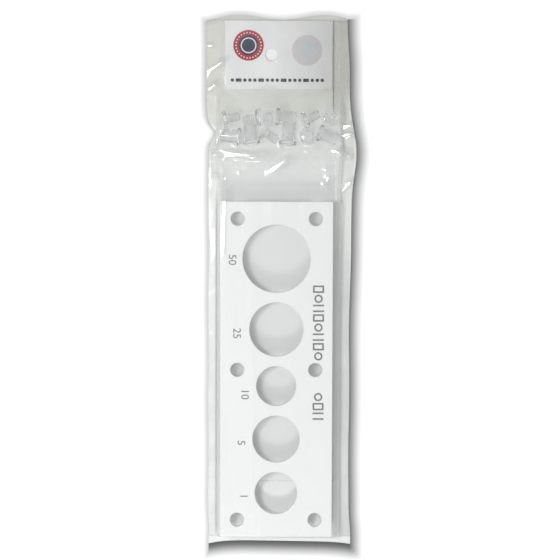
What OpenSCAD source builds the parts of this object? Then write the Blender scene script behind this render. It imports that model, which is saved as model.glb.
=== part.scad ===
// Coin set holder as it hangs in a shop: three plates, loose screw posts and a header card in a film bag.
// It lies on its back: +X is right, +Y runs to the open mouth of the bag and +Z comes out of its front.

/* [Plates] */
// Width of the three plates
plate_w = 50.8; // [44:0.2:66]
// Length of the three plates
plate_l = 152.4; // [146:0.2:190]
// Thickness of each plate
plate_t = 3.2; // [2:0.1:4.5]
// Corner radius of the plates
plate_corner = 0.8; // [0.3:0.1:3]
// How far the front cover has slid past the centre plate towards the mouth
cover_up = 25; // [18:0.5:40]
// How far both covers have slid to the right of the centre plate
cover_side = 1.2; // [0:0.1:2]

/* [Coin holes] */
// Diameter of the half dollar
half_d = 30.6; // [24:0.05:34]
// Diameter of the quarter
quarter_d = 24.3; // [20:0.05:27]
// Diameter of the dime
dime_d = 17.9; // [15:0.05:22]
// Diameter of the nickel
nickel_d = 21.2; // [17:0.05:25]
// Diameter of the cent
cent_d = 19.05; // [16:0.05:23]
// Clearance around a coin in its hole
coin_clear = 0.1; // [0.06:0.01:0.3]
// Wall between neighbouring coin holes
coin_web = 4.4; // [3:0.1:6]

/* [Fasteners] */
// Diameter of the six fastener holes through every plate
hole_d = 6.35; // [5.6:0.05:7]
// Distance of the fastener holes from the plate's edges
hole_inset = 7.75; // [6.5:0.05:9]
// Clearance of a post in its hole
post_clear = 0.15; // [0.08:0.01:0.3]
// Diameter of the heads
head_d = 8; // [7.4:0.1:9.4]
// Thickness of the heads
head_t = 1.3; // [1:0.1:2]
// Bevel around the heads
head_bevel = 0.3; // [0.1:0.05:0.5]
// Length of a post below its head
post_l = 7.6; // [6.6:0.1:9]
// Floor left under the head at the bottom of a post's bore
post_floor = 0.4; // [0.2:0.1:1]
// Outer diameter of a screw's thread
thread_d = 4.2; // [3.6:0.1:4.6]
// Clearance of the thread in the post's bore
thread_clear = 0.15; // [0.08:0.01:0.25]
// Length of a screw below its head
thread_l = 6.6; // [5:0.1:7]
// Width of the driver slot
slot_w = 1.2; // [0.8:0.1:1.6]
// Depth of the driver slot
slot_depth = 0.5; // [0.3:0.1:0.8]

/* [Header card] */
// Width of the header card
card_w = 48.8; // [40:0.1:52]
// Height of the header card
card_l = 31; // [24:0.5:45]
// Thickness of the header card
card_t = 0.3; // [0.2:0.05:0.6]
// Diameter of the hang hole punched through film and card
hang_d = 5.6; // [4:0.1:8]
// Distance of the hang hole to the left of the card's middle
hang_side = 3.3; // [0:0.1:8]

/* [Bag] */
// Thickness of the film
film_t = 0.15; // [0.1:0.01:0.3]
// Film on each side of the widest contents
side_room = 5.5; // [4.5:0.1:9]
// Sealed strip along the bottom edge
seal_l = 1.2; // [0.8:0.1:5]
// How far the bottom corners hang past the middle of the seal
corner_drop = 1.7; // [0:0.1:3]
// Film between the fasteners and the header card
neck_l = 8.4; // [7:0.1:20]
// Back film that stands past the front film at the mouth
mouth_step = 1.4; // [0.5:0.1:4]
// Height of the wave along the back film's top edge
mouth_wave = 1.1; // [0:0.1:2]

/* [Hidden] */
FASTENERS = 6;
$fn = 64;

// Air between plies that lie on each other, at a seat and beside moving edges
ply_gap = 0.05;
seat_gap = 0.1;
side_gap = 0.3;

// Radii of the fasteners
head_r = head_d / 2;
post_r = hole_d / 2 - post_clear;
thread_r = thread_d / 2;
bore_r = thread_r + thread_clear;

// Heights of the plies, from the table up
back_z = film_t + ply_gap;
front_z = back_z + plate_t + ply_gap;
centre_z = front_z + plate_t + ply_gap;
centre_top = centre_z + plate_t;
flange_z = 3 * film_t + 3 * ply_gap;

// The fasteners lie loose in a heap on the back film. Most lie flat, tip a little down; one post and one screw
// stand on their tips, and one screw hangs by its head between its neighbours' heads
LIES = 0;
STANDS = 1;
HANGS = 2;
rest_z = film_t + seat_gap;
hang_up = max(0, head_d + seat_gap - thread_l);
heap = max(head_d / 8, hole_d / 6.35, thread_d / 4.2, (head_t + post_l) / 8.9, (head_t + thread_l) / 7.9);
pile_w = 54.4 * heap;
pile_l = 17.4 * heap;
pile_top = rest_z + max(head_t + post_l, head_t + thread_l + hang_up, head_d + head_t / 2);

// Stations along the bag, from the sealed bottom to the mouth
end_run = 1.6;
bag_l = corner_drop + seal_l + end_run + plate_l + cover_up + pile_l + neck_l + card_l
    + mouth_step + mouth_wave;
y_corner = -bag_l / 2;
y_seal = y_corner + corner_drop;
y_foot = y_seal + seal_l;
y_plate = y_foot + end_run;
y_plate_end = y_plate + plate_l;
y_pile = y_plate_end + cover_up;
y_pile_end = y_pile + pile_l;
y_card = y_pile_end + neck_l;
y_mouth = y_card + card_l;
y_back = y_mouth + mouth_step;

// Places across the bag, and how far the back cover lags behind the front one
plate_x = -1.9;
pile_x = -0.8;
card_x = -1.3;
bag_x = -0.4;
header_shift = 1.1;
cover_lag = 0.8;
content_w = max(plate_w + 2 * cover_side, pile_w, card_w + 2);
bag_w = content_w + 2 * side_room;
plate_y = y_plate + plate_l / 2;
hang = [card_x - hang_side, y_card + card_l / 2];

// Diameters of the coin holes and their places down the plate
coin_hole = [for (d = [half_d, quarter_d, dime_d, nickel_d, cent_d]) d + 2 * coin_clear];
COINS = len(coin_hole);
column_l = total(coin_hole, COINS) + (COINS - 1) * coin_web;

function total(v, n) = n == 0 ? 0 : v[n - 1] + total(v, n - 1);
function coin_y(i) = column_l / 2 - total(coin_hole, i) - coin_hole[i] / 2 - i * coin_web;
function mix(a, b, t) = a + (b - a) * t;
function ramp(y, a, b) = let (t = min(1, max(0, (y - a) / (b - a)))) t * t * (3 - 2 * t);
function bump(y, at, width) = exp(-pow((y - at) / width, 2));
function zone(a, b, n) = [for (k = [1:n]) mix(a, b, k / n)];

// Side edges of the flattened bag: pinched in left of the pile, pushed out right of it
function header_part(y) = ramp(y, y_pile, y_card);
function neck_part(y) = ramp(y, y_pile_end, y_card);
function edge_left(y) = bag_x - bag_w / 2 - header_shift * header_part(y)
    + 0.62 * side_room * bump(y, y_pile + 6, 4);
function edge_right(y) = bag_x + bag_w / 2 - header_shift * header_part(y)
    + 1.9 * bump(y, y_pile - 4, 12);
function edge_bottom(x) = y_seal - corner_drop * pow(min(1, abs(x - bag_x) / (bag_w / 2)), 3);
function edge_top(x) = y_back + mouth_wave * cos(360 * (x + 0.3 * bag_w) / (0.6 * bag_w));

// Front film: where it leaves the contents, where it meets the table and how high it rides between
function shoulder_left(y) = let (
    plate_side = plate_x - plate_w / 2 - side_gap,
    pile_side = pile_x - pile_w / 2 - side_gap)
    mix(plate_side, min(plate_side, pile_side), ramp(y, y_plate_end, y_pile));
function shoulder_right(y) = let (
    plate_side = plate_x + plate_w / 2 + side_gap,
    cover_side_x = plate_side + cover_side,
    pile_side = pile_x + pile_w / 2 + side_gap)
    y < y_plate_end - 1
        ? mix(plate_side, cover_side_x, ramp(y, y_plate_end - 30, y_plate_end))
        : mix(cover_side_x, max(cover_side_x, pile_side), ramp(y, y_plate_end, y_pile));
function foot_left(y) = max(edge_left(y) + side_gap, shoulder_left(y) - 1.75);
function foot_right(y) = edge_right(y) - 0.6 * side_room;
function ride(y) = y <= y_foot ? flange_z
    : y <= y_plate_end + side_gap ? centre_top + seat_gap
    : y <= y_pile - side_gap
        ? mix(mix(centre_top + seat_gap, front_z + plate_t + 0.9, ramp(y, y_plate_end, y_plate_end + 6)),
            pile_top + seat_gap, ramp(y, y_pile - 9, y_pile - side_gap))
    : mix(pile_top + seat_gap, flange_z + card_t, ramp(y, y_pile_end, y_card));

film_rows = concat(
    [y_seal, y_foot, y_plate - side_gap],
    zone(y_plate - side_gap, y_plate_end + side_gap, 8),
    zone(y_plate_end + side_gap, y_pile - side_gap, 6),
    zone(y_pile - side_gap, y_pile_end, 6),
    zone(y_pile_end, y_card, 5),
    zone(y_card, y_mouth, 5));
ROWS = len(film_rows);
INNER = 7;

function film_section(y) = concat(
    [[edge_left(y), flange_z], [foot_left(y), flange_z]],
    [for (k = [0:INNER]) [mix(shoulder_left(y), shoulder_right(y), k / INNER), ride(y)]],
    [[foot_right(y), flange_z], [edge_right(y), flange_z]]);
film_grid = [for (r = [0:ROWS - 1]) [for (p = film_section(film_rows[r]))
    [p[0], r == 0 ? edge_bottom(p[0]) : film_rows[r], p[1]]]];
COLS = len(film_grid[0]);
function film_normal(r, c) = let (
    across = film_grid[r][min(c + 1, COLS - 1)] - film_grid[r][max(c - 1, 0)],
    along = film_grid[min(r + 1, ROWS - 1)][c] - film_grid[max(r - 1, 0)][c],
    n = cross(across, along))
    n / norm(n);

module plate_blank() {
    a = plate_w / 2 - plate_corner;
    b = plate_l / 2 - plate_corner;
    linear_extrude(plate_t) {
        square([plate_w, 2 * b], center = true);
        square([2 * a, plate_l], center = true);
        for (x = [-a, a], y = [-b, b]) translate([x, y]) circle(plate_corner);
    }
}

module fastener_holes() {
    x = plate_w / 2 - hole_inset;
    y = plate_l / 2 - hole_inset;
    for (px = [-x, x], py = [-y, 0, y]) translate([px, py, -1]) cylinder(d = hole_d, h = plate_t + 2);
}

module coin_holes() {
    for (i = [0:COINS - 1]) translate([0, coin_y(i), -1]) cylinder(d = coin_hole[i], h = plate_t + 2);
}

module centre_plate() {
    color("white") translate([plate_x, plate_y, centre_z]) difference() {
        plate_blank();
        fastener_holes();
        coin_holes();
    }
}

module cover(z, up) {
    color([0.86, 0.9, 0.9, 0.4]) translate([plate_x + cover_side, plate_y + up, z]) difference() {
        plate_blank();
        fastener_holes();
    }
}

module front_cover() {
    cover(front_z, cover_up);
}

module back_cover() {
    cover(back_z, cover_up - cover_lag);
}

// A post stands on its head here, with the open end of its bore up
module post_shape() {
    end = head_t + post_l;
    rotate_extrude() polygon([
        [0, 0], [head_r - head_bevel, 0], [head_r, head_bevel], [head_r, head_t], [post_r, head_t],
        [post_r, end], [bore_r, end], [bore_r, head_t + post_floor], [0, head_t + post_floor]]);
}

// A screw stands on its slotted head here
module screw_shape() {
    end = head_t + thread_l;
    difference() {
        rotate_extrude() polygon([
            [0, 0], [head_r - head_bevel, 0], [head_r, head_bevel], [head_r, head_t], [thread_r, head_t],
            [thread_r, end - head_bevel], [thread_r - head_bevel, end], [0, end]]);
        translate([-head_d, -slot_w / 2, -1]) cube([2 * head_d, slot_w, slot_depth + 1]);
    }
}

// Places in the heap: right, up the bag, turn about the upright, and how the fastener rests
POST_PLACES = [
    [-22, 4.5, 176, LIES], [-13, 5.3, 95, LIES], [4, 5.1, 85, LIES],
    [12.6, 4.4, 0, STANDS], [21.8, 4.8, -20, LIES], [2.8, 13, -5, LIES]];
SCREW_PLACES = [
    [-22, 12.7, 12, LIES], [-12.5, 12.4, 190, LIES], [-4.2, 4.6, -35, LIES],
    [14.4, 13, 25, LIES], [22.6, 12.8, 50, STANDS], [-5.2, 12.4, 20, HANGS]];

module heaped(place, long, r) {
    dip = place[3] == LIES ? atan((head_r - r) / (long - head_t)) : 90;
    up = rest_z + long / 2 * sin(dip) + r * cos(dip) + (place[3] == HANGS ? hang_up : 0);
    color([0.85, 0.88, 0.9, 0.5])
        translate([pile_x + heap * place[0], y_pile + heap * place[1], up])
            rotate([0, 90 + dip, place[2]]) translate([0, 0, -long / 2]) children();
}

module post(i) {
    heaped(POST_PLACES[i], head_t + post_l, post_r) post_shape();
}

module screw(i) {
    heaped(SCREW_PLACES[i], head_t + thread_l, thread_r) rotate([0, 0, 40 * i]) screw_shape();
}

module hang_hole() {
    translate([hang[0], hang[1], -5]) cylinder(d = hang_d, h = 20);
}

module header_card() {
    color([0.93, 0.93, 0.95]) difference() {
        translate([card_x - card_w / 2, y_card, film_t + ply_gap]) cube([card_w, card_l, card_t]);
        hang_hole();
    }
}

module bag_back() {
    rows = concat([y_foot], zone(y_foot, y_plate_end, 4), zone(y_plate_end, y_card, 20), zone(y_card, y_mouth, 3));
    left = [for (y = rows) [edge_left(y), y]];
    right = [for (y = rows) [edge_right(y), y]];
    top = [for (k = [0:20]) let (x = mix(edge_left(y_mouth), edge_right(y_mouth), k / 20)) [x, edge_top(x)]];
    bottom = [for (k = [0:12]) let (x = mix(edge_left(y_foot), edge_right(y_foot), k / 12)) [x, edge_bottom(x)]];
    color([0.82, 0.83, 0.8, 0.4]) difference() {
        linear_extrude(film_t) polygon(concat(bottom, right, reversed(top), reversed(left)));
        hang_hole();
    }
}

function reversed(v) = [for (i = [len(v) - 1:-1:0]) v[i]];

// Each gusset is a strip of film folded in half, with its fold towards the contents
module gusset(outer, fold) {
    rows = concat([y_foot], zone(y_foot, y_plate_end, 4), zone(y_plate_end, y_card, 20), zone(y_card, y_mouth, 3));
    leaf = concat([for (y = rows) [outer(y), y]], reversed([for (y = rows) [fold(y), y]]));
    in = sign(fold(y_foot) - outer(y_foot));
    crease = concat([for (y = rows) [fold(y) - in * film_t, y]], reversed([for (y = rows) [fold(y), y]]));
    color([0.8, 0.81, 0.78, 0.4]) translate([0, 0, film_t + ply_gap]) {
        linear_extrude(film_t) polygon(leaf);
        translate([0, 0, film_t + ply_gap]) linear_extrude(film_t) polygon(leaf);
        linear_extrude(2 * film_t + ply_gap) polygon(crease);
    }
}

module gusset_left() {
    gusset(
        function (y) edge_left(y) + film_t,
        function (y) mix(shoulder_left(y) - side_gap, card_x - card_w / 2 - side_gap, neck_part(y)));
}

module gusset_right() {
    gusset(
        function (y) edge_right(y) - film_t,
        function (y) mix(shoulder_right(y_pile) + side_gap, card_x + card_w / 2 + side_gap, neck_part(y)));
}

module bag_front() {
    inner = [for (r = [0:ROWS - 1], c = [0:COLS - 1]) film_grid[r][c]];
    outer = [for (r = [0:ROWS - 1], c = [0:COLS - 1]) film_grid[r][c] + film_t * film_normal(r, c)];
    half = ROWS * COLS;
    cells = [for (r = [0:ROWS - 2], c = [0:COLS - 2]) r * COLS + c];
    under = [for (a = cells) each [[a, a + 1, a + COLS + 1], [a, a + COLS + 1, a + COLS]]];
    over = [for (t = under) [t[0] + half, t[2] + half, t[1] + half]];
    rim = concat(
        [for (c = [0:COLS - 1]) c],
        [for (r = [1:ROWS - 1]) r * COLS + COLS - 1],
        [for (c = [COLS - 2:-1:0]) (ROWS - 1) * COLS + c],
        [for (r = [ROWS - 2:-1:1]) r * COLS]);
    wall = [for (k = [0:len(rim) - 1]) let (a = rim[k], b = rim[(k + 1) % len(rim)])
        each [[a, b + half, b], [a, a + half, b + half]]];
    color([0.82, 0.83, 0.8, 0.4]) difference() {
        polyhedron(concat(inner, outer), concat(under, over, wall));
        hang_hole();
    }
}

bag_back();
bag_front();
gusset_left();
gusset_right();
back_cover();
front_cover();
centre_plate();
for (i = [1:FASTENERS]) post(i - 1);
for (i = [1:FASTENERS]) screw(i - 1);
header_card();
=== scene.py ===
"""Coin set holder as it is sold: three plates, loose screw posts, screws and a header card in a film bag."""

import math

import bmesh
import bpy
import numpy as np
from mathutils import Euler, Matrix, Vector


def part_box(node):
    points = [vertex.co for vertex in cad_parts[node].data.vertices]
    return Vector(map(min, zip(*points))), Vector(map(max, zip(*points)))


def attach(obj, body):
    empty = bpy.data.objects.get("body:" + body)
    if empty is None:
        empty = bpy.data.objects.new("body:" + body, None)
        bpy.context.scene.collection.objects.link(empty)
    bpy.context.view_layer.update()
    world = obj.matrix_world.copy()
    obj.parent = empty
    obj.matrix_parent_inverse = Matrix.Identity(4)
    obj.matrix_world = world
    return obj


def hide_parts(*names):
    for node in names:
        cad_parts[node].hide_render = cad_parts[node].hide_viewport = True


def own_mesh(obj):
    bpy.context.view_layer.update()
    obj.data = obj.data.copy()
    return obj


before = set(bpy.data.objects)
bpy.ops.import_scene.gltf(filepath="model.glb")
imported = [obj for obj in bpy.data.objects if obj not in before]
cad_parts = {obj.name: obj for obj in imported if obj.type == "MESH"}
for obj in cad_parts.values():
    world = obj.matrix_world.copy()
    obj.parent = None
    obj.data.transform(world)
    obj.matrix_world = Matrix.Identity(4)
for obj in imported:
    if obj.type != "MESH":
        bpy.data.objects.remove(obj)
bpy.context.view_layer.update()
scene = bpy.context.scene
scene.view_settings.view_transform = "Standard"
scene.cycles.transparent_max_bounces = 40
scene.cycles.transmission_bounces = 24
scene.cycles.max_bounces = 24
scene.cycles.caustics_reflective = scene.cycles.caustics_refractive = False

# Camera
# It looks down on the pack from high above, leaning a little towards the mouth of the bag, with a long lens
# that keeps the plates almost square.
aim = Vector((-0.00036, 0.0009, 0.0099))
stand_off, seen_width, sensor_width = 0.9, 0.2530, 36
camera_lean, camera_roll = math.radians(3.25), math.radians(0.205)

sight = Vector((0, -math.sin(camera_lean), -math.cos(camera_lean)))
level = Vector((1, 0, 0))
upright = Vector((0, math.cos(camera_lean), -math.sin(camera_lean)))
right = math.cos(camera_roll) * level + math.sin(camera_roll) * upright
up = math.cos(camera_roll) * upright - math.sin(camera_roll) * level
camera_data = bpy.data.cameras.new("camera")
camera_data.sensor_width = sensor_width
camera_data.lens = sensor_width * stand_off / seen_width
camera_data.clip_start, camera_data.clip_end = 0.01, 20
camera = bpy.data.objects.new("camera", camera_data)
turn = Matrix((right, up, -sight)).transposed()
camera.matrix_world = Matrix.Translation(aim - stand_off * sight) @ turn.to_4x4()
scene.collection.objects.link(camera)
scene.camera = camera

# Back of the bag
# One side of a flattened tube of clear polyethylene, heat sealed along the bottom and left open at the top,
# where it stands past the front in a slow wave. A round hang hole is punched through it.
MM = 0.001
FILM = 0.12
BAG_X, BAG_W, SIDE_ROOM = -0.4, 65.4, 5.5
HEADER_SHIFT, CORNER_DROP, SEAL = 1.1, 1.7, 1.2
HANG_R, HANG_LEFT = 2.8, 3.3
HEAP_LONG, HEAP_PINCH, HEAP_PUSH = 17.4, 0.62 * SIDE_ROOM, 1.9
SEAL_PINCH, PLATE_WAIST, MOUTH_WAIST = 0.5, 0.9, 1.4
SEAL_DROP, SEAL_BOW, MOUTH_WAVE, MOUTH_ROUND = 0.65, 1.7, 1.1, 0.9
WAIST_SPAN = (40, -20)
LEFT_WAVE, RIGHT_WAVE, WAVER = 0.12, 0.15, 0.015
BACK_ROWS, BACK_COLS = 181, 61


def millimetres(corners):
    """A box's lowest and highest corners in millimetres."""
    return (np.array(corner) / MM for corner in corners)


bag_lo, _ = millimetres(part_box("bag_front"))
plate_lo, plate_hi = millimetres(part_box("centre_plate"))
cover_lo, cover_hi = millimetres(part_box("front_cover"))
under_lo, under_hi = millimetres(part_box("back_cover"))
card_lo, card_hi = millimetres(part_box("header_card"))
Y_SEAL, Y_MOUTH = bag_lo[1] + CORNER_DROP, card_hi[1]
Y_FOOT, Y_PILE, Y_CARD = Y_SEAL + SEAL, cover_hi[1], card_lo[1]
Y_PILE_END, Y_CREST = Y_PILE + HEAP_LONG, 119.5
HANG = np.array([(card_lo[0] + card_hi[0]) / 2 - HANG_LEFT, (card_lo[1] + card_hi[1]) / 2])


def ease(y, a, b):
    """A soft step from 0 at a to 1 at b."""
    t = np.clip((y - a) / (b - a), 0, 1)
    return t * t * (3 - 2 * t)


def swell(y, at, width):
    """A soft hump of height 1."""
    return np.exp(-(((y - at) / width) ** 2))


def left_edge(y):
    """The bag's left side, drawn in above the seal and where the film is pulled over the heap."""
    pinch = HEAP_PINCH * swell(y, Y_PILE + 6, 4) + SEAL_PINCH * swell(y, Y_FOOT + 4, 6)
    return BAG_X - BAG_W / 2 - HEADER_SHIFT * ease(y, Y_PILE, Y_CARD) + pinch + LEFT_WAVE * np.sin(y / 7.3)


def right_edge(y):
    """The bag's right side, out beside the covers and drawn in beside the white plate and at the mouth."""
    push = HEAP_PUSH * swell(y, Y_PILE - 4, 12)
    by_plate = PLATE_WAIST * ease(y, *WAIST_SPAN) * ease(y, Y_SEAL, Y_SEAL + 14)
    waist = by_plate + MOUTH_WAIST * ease(y, Y_CARD + 6, Y_MOUTH)
    straight = BAG_X + BAG_W / 2 - HEADER_SHIFT * ease(y, Y_PILE, Y_CARD)
    return straight + push - waist + RIGHT_WAVE * np.sin(y / 9.1 + 1)


def bottom_edge(x):
    """The cut below the seal, which curls down at the left corner and falls away slowly to the right one."""
    u = np.clip((x - BAG_X) / (BAG_W / 2), -1, 1)
    left_curl, right_curl = np.maximum(-u, 0) ** 5, 0.58 * np.maximum(u, 0) ** 6
    fall = 0.26 * np.maximum(u + 0.6, 0)
    return Y_SEAL - SEAL_DROP - SEAL_BOW * (left_curl + fall + right_curl)


def top_edge(x):
    """The mouth of the bag's back, in a slow wave."""
    wave = MOUTH_WAVE * np.cos(2 * np.pi * (x + 0.3 * BAG_W) / (0.6 * BAG_W))
    return Y_CREST + wave - MOUTH_ROUND * np.minimum(1, np.abs(x - BAG_X) / (BAG_W / 2)) ** 6


def sheet_mesh(name, points, hole=None):
    """A grid of points, rows by columns in millimetres, as one sheet that may have the hang hole."""
    rows, cols = points.shape[:2]
    spots = points.reshape(-1, 3).copy()
    first = (np.arange(rows - 1)[:, None] * cols + np.arange(cols - 1)).ravel()
    quads = np.stack([first, first + 1, first + cols + 1, first + cols], 1)
    if hole is not None:
        away = np.hypot(*(spots[quads].mean(1)[:, :2] - hole).T)
        gone, quads = quads[away < HANG_R], quads[away >= HANG_R]
        for k in np.intersect1d(gone, quads):
            d = spots[k, :2] - hole
            spots[k, :2] = hole + d * HANG_R / np.hypot(*d)
    used, place = np.unique(quads, return_inverse=True)
    mesh = bpy.data.meshes.new(name)
    mesh.from_pydata((spots[used] * MM).tolist(), [], place.reshape(quads.shape).tolist())
    mesh.update()
    return mesh, used


def piece(name, mesh, *looks):
    obj = bpy.data.objects.new(name, mesh)
    scene.collection.objects.link(obj)
    for look in looks:
        mesh.materials.append(look)
    return obj


def settle(obj):
    """Turns what the modifiers make into the piece's own plain mesh."""
    made = bpy.data.meshes.new_from_object(obj.evaluated_get(bpy.context.evaluated_depsgraph_get()))
    obj.modifiers.clear()
    obj.data = made
    return obj


def thicken(obj, wall, offset=1):
    """Gives a sheet its wall, on its front where offset is 1, half on each side where it is 0."""
    shell = obj.modifiers.new("wall", "SOLIDIFY")
    shell.thickness, shell.offset, shell.use_even_offset = wall * MM, offset, False
    settle(obj)
    obj.data.shade_smooth()
    return obj


def preset(node, values):
    """Sets a node's inputs to constants."""
    for label, value in values.items():
        node.inputs[label].default_value = value


def group_socket(group, side, label, kind):
    """A named input or output of a node group."""
    return group.interface.new_socket(label, in_out=side, socket_type="NodeSocket" + kind)


def plastic_grain():
    """What moulded and blown plastics share: slow clouds, a fine ripple and drawn-out scuffs."""
    kinds = (("Cloud", 60.0, 3), ("Ripple", 900.0, 2), ("Scuff", 140.0, 4))
    group = bpy.data.node_groups.new("plastic_grain", "ShaderNodeTree")
    for label, size, _ in kinds:
        group_socket(group, "OUTPUT", label, "Float")
        group_socket(group, "INPUT", label + " size", "Float").default_value = size
    nodes, links = group.nodes, group.links
    given, sent = nodes.new("NodeGroupInput"), nodes.new("NodeGroupOutput")
    where, drawn = nodes.new("ShaderNodeTexCoord"), nodes.new("ShaderNodeMapping")
    preset(drawn, {"Rotation": (0, 0, 0.6), "Scale": (1, 0.06, 1)})
    links.new(where.outputs["Object"], drawn.inputs["Vector"])
    for label, _, detail in kinds:
        noise = nodes.new("ShaderNodeTexNoise")
        noise.inputs["Detail"].default_value = detail
        spot = drawn.outputs["Vector"] if label == "Scuff" else where.outputs["Object"]
        links.new(spot, noise.inputs["Vector"])
        links.new(given.outputs[label + " size"], noise.inputs["Scale"])
        links.new(noise.outputs["Fac"], sent.inputs[label])
    return group


GRAIN = plastic_grain()
RELIEF = 0.0002


def started(name):
    """A new material, its node tree and the Principled body in it."""
    look = bpy.data.materials.new(name)
    look.use_nodes = True
    return look, look.node_tree, look.node_tree.nodes["Principled BSDF"]


def grained(tree, sizes=None):
    """The shared grain's outputs, placed in a material with its own sizes."""
    node = tree.nodes.new("ShaderNodeGroup")
    node.node_tree = GRAIN
    preset(node, sizes or {})
    return node.outputs


def feed(tree, socket, value):
    """Links a socket to another one, or sets it to a constant."""
    if isinstance(value, bpy.types.NodeSocket):
        tree.links.new(value, socket)
    else:
        socket.default_value = value


def stretched(tree, source, low, high, to_low, to_high):
    """A value brought from one span to another."""
    node = tree.nodes.new("ShaderNodeMapRange")
    preset(node, {"From Min": low, "From Max": high, "To Min": to_low, "To Max": to_high})
    tree.links.new(source, node.inputs["Value"])
    return node.outputs["Result"]


def reckoned(tree, a, operation, b):
    """Two values, or a value and a number, put together by one operation."""
    node = tree.nodes.new("ShaderNodeMath")
    node.operation = operation
    feed(tree, node.inputs[0], a)
    feed(tree, node.inputs[1], b)
    return node.outputs[0]


def two_tone(tree, part, first, second):
    """A colour that goes from the first to the second as the part goes from 0 to 1."""
    node = tree.nodes.new("ShaderNodeMix")
    node.data_type = "RGBA"
    for label, value in (("Factor", part), ("A", first), ("B", second)):
        feed(tree, node.inputs[label], value)
    return node.outputs["Result"]


def mixed(tree, part, first, second):
    """A shader that goes from the first to the second as the part goes from 0 to 1."""
    node = tree.nodes.new("ShaderNodeMixShader")
    for socket, source in zip(node.inputs, (part, first, second)):
        tree.links.new(source, socket)
    return node.outputs[0]


def relief(tree, body, height, strength):
    """A shallow relief in a body's surface."""
    bump = tree.nodes.new("ShaderNodeBump")
    preset(bump, {"Strength": strength, "Distance": RELIEF})
    tree.links.new(height, bump.inputs["Height"])
    tree.links.new(bump.outputs["Normal"], body.inputs["Normal"])


def carried(tree, label):
    """A value that the mesh carries at its points."""
    node = tree.nodes.new("ShaderNodeAttribute")
    node.attribute_name = label
    return node.outputs["Fac"]


SKIN_GLOSS = 0.5


def film_look(name, haze_colour, haze, shade_from, shade_to, along, across=None, touch=0.0, gleam=0.0, crease_shade_depth=0.0):
    """Clear film under a glossy skin, hazier where it turns away. Its tint changes over a span along y, and
    over one across in x where given, as painted shade for the light falling off over the bag. Where the mesh
    clings, gleams or is creased, touch adds haze, a gleam adds haze and gloss as a painted highlight, and a
    crease darkens the tint as painted shade."""
    look, tree, body = started(name)
    nodes, links = tree.nodes, tree.links
    grain = grained(tree, {"Cloud size": 45, "Ripple size": 500})
    preset(body, {"Base Color": haze_colour, "Coat Weight": SKIN_GLOSS})
    preset(body, {"Coat IOR": 3.2, "Coat Roughness": 0.14})
    links.new(stretched(tree, grain["Scuff"], 0.35, 0.7, 0.25, 0.40), body.inputs["Roughness"])
    relief(tree, body, grain["Ripple"], 0.05)

    where, split = nodes.new("ShaderNodeTexCoord"), nodes.new("ShaderNodeSeparateXYZ")
    links.new(where.outputs["Object"], split.inputs[0])
    # The tint's change over these spans is painted shade.
    falloff = stretched(tree, split.outputs["Y"], *along, 0, 1)
    if across:
        falloff = reckoned(tree, falloff, "MULTIPLY", stretched(tree, split.outputs["X"], *across, 0, 1))
    tint = two_tone(tree, falloff, shade_from, shade_to)
    # A crease darkens the tint: painted shade in the fold.
    if crease_shade_depth:
        dark = tuple(c * (1 - crease_shade_depth) for c in shade_from[:3]) + (1,)
        tint = two_tone(tree, carried(tree, "painted_crease_shade"), tint, dark)

    turned = nodes.new("ShaderNodeLayerWeight")
    turned.inputs["Blend"].default_value = 0.5
    steep = reckoned(tree, turned.outputs["Facing"], "POWER", 2.5)
    share = reckoned(tree, reckoned(tree, steep, "MULTIPLY", 0.40), "ADD", haze)
    share = reckoned(tree, share, "ADD", stretched(tree, grain["Cloud"], 0.3, 0.7, -0.012, 0.02))
    if touch:
        share = reckoned(tree, share, "ADD", reckoned(tree, carried(tree, "clings"), "MULTIPLY", touch))
    # A gleam raises haze and coat gloss: a painted highlight.
    if gleam:
        gleams = carried(tree, "gleams")
        share = reckoned(tree, share, "ADD", reckoned(tree, gleams, "MULTIPLY", gleam))
        links.new(stretched(tree, gleams, 0, 1, SKIN_GLOSS, 1), body.inputs["Coat Weight"])

    clear = nodes.new("ShaderNodeBsdfTransparent")
    links.new(tint, clear.inputs["Color"])
    shown = mixed(tree, share, clear.outputs[0], body.outputs[0])
    links.new(shown, nodes["Material Output"].inputs["Surface"])
    return look


# The back film is tinted darker towards the mouth: painted shade for the light falling off there.
back_film = film_look(
    "back_film", haze_colour=(0.78, 0.79, 0.77, 1), haze=0.022,
    shade_from=(0.993, 0.993, 0.994, 1), shade_to=(0.955, 0.955, 0.941, 1), along=(0.05, 0.085),
)

t = np.linspace(0, 1, BACK_ROWS)[:, None]
y = Y_FOOT + t * (Y_CREST - Y_FOOT)
x = left_edge(y) + np.linspace(0, 1, BACK_COLS) * (right_edge(y) - left_edge(y))
low, high = bottom_edge(x), top_edge(x)
spread = np.stack([x, low + t * (high - low), WAVER * (1 + np.sin(x / 4 + y / 11))], -1)
mesh, _ = sheet_mesh("bag_back_film", spread, HANG)
bag_back = thicken(piece("bag_back_film", mesh, back_film), FILM)
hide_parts("bag_back")
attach(bag_back, "bag")

# Table and lamps
# A white table top, bright where it lies open, with a painted shadow in its colour close round the bag and
# just inside its top edge, a small soft lamp high on the left, a weaker one past the sealed end, and a dim
# even room that looks pale. Each step of a fade is an inset from the bag's edge with the open part and the
# painted shade there.
TABLE_SIZE, TABLE_DROP = 12000.0, 0.06
TABLE_ROWS, TABLE_COLS = 130, 41
TABLE_WHITE = (0.93, 0.93, 0.925, 1)
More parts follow.
